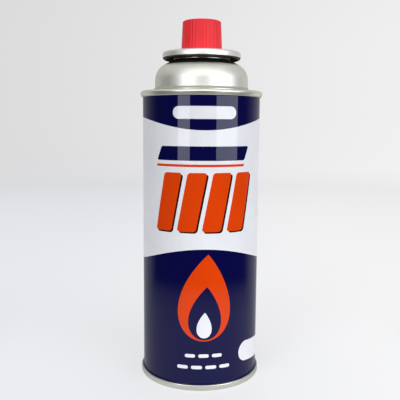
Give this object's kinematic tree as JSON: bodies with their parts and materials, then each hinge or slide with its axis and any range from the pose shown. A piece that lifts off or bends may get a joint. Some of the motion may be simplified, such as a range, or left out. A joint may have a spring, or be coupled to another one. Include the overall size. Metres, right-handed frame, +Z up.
{
  "type": "fuel canister",
  "caption": "Straight-sided gas cartridge with seamed ends, a domed shoulder, a notched locating collar on a crimped valve cup, a sprung stem and a ribbed pull-off cap.",
  "frame": {"origin": "middle of the ring that the can stands on", "axes": "+Z up along the can's axis towards the cap, +Y towards the notch in the collar"},
  "size_m": [0.0676, 0.0676, 0.198],
  "materials": {
    "printed_can": "glossy lacquered tinplate",
    "tinplate_cup": "plain pressed tinplate",
    "tinplate_collar": "bright pressed tinplate",
    "stem_plastic": "moulded, pale",
    "cap_plastic": "satin, finely ribbed"
  },
  "bodies": {
    "can": {"sealed_can": "printed_can", "valve_cup": "tinplate_cup", "locating_collar": "tinplate_collar"},
    "stem": {"valve_stem": "stem_plastic"},
    "cap": {"cap": "cap_plastic"}
  },
  "joints": [
    {"name": "cap_lift", "type": "slide", "parent": "can", "child": "cap", "axis": [0, 0, 1], "range_m": [0, 0.03]},
    {"name": "stem_press", "type": "slide", "parent": "can", "child": "stem", "axis": [0, 0, -1], "range_m": [0, 0.0018], "stiffness_N_per_m": 3000, "springref_m": -0.003}
  ]
}
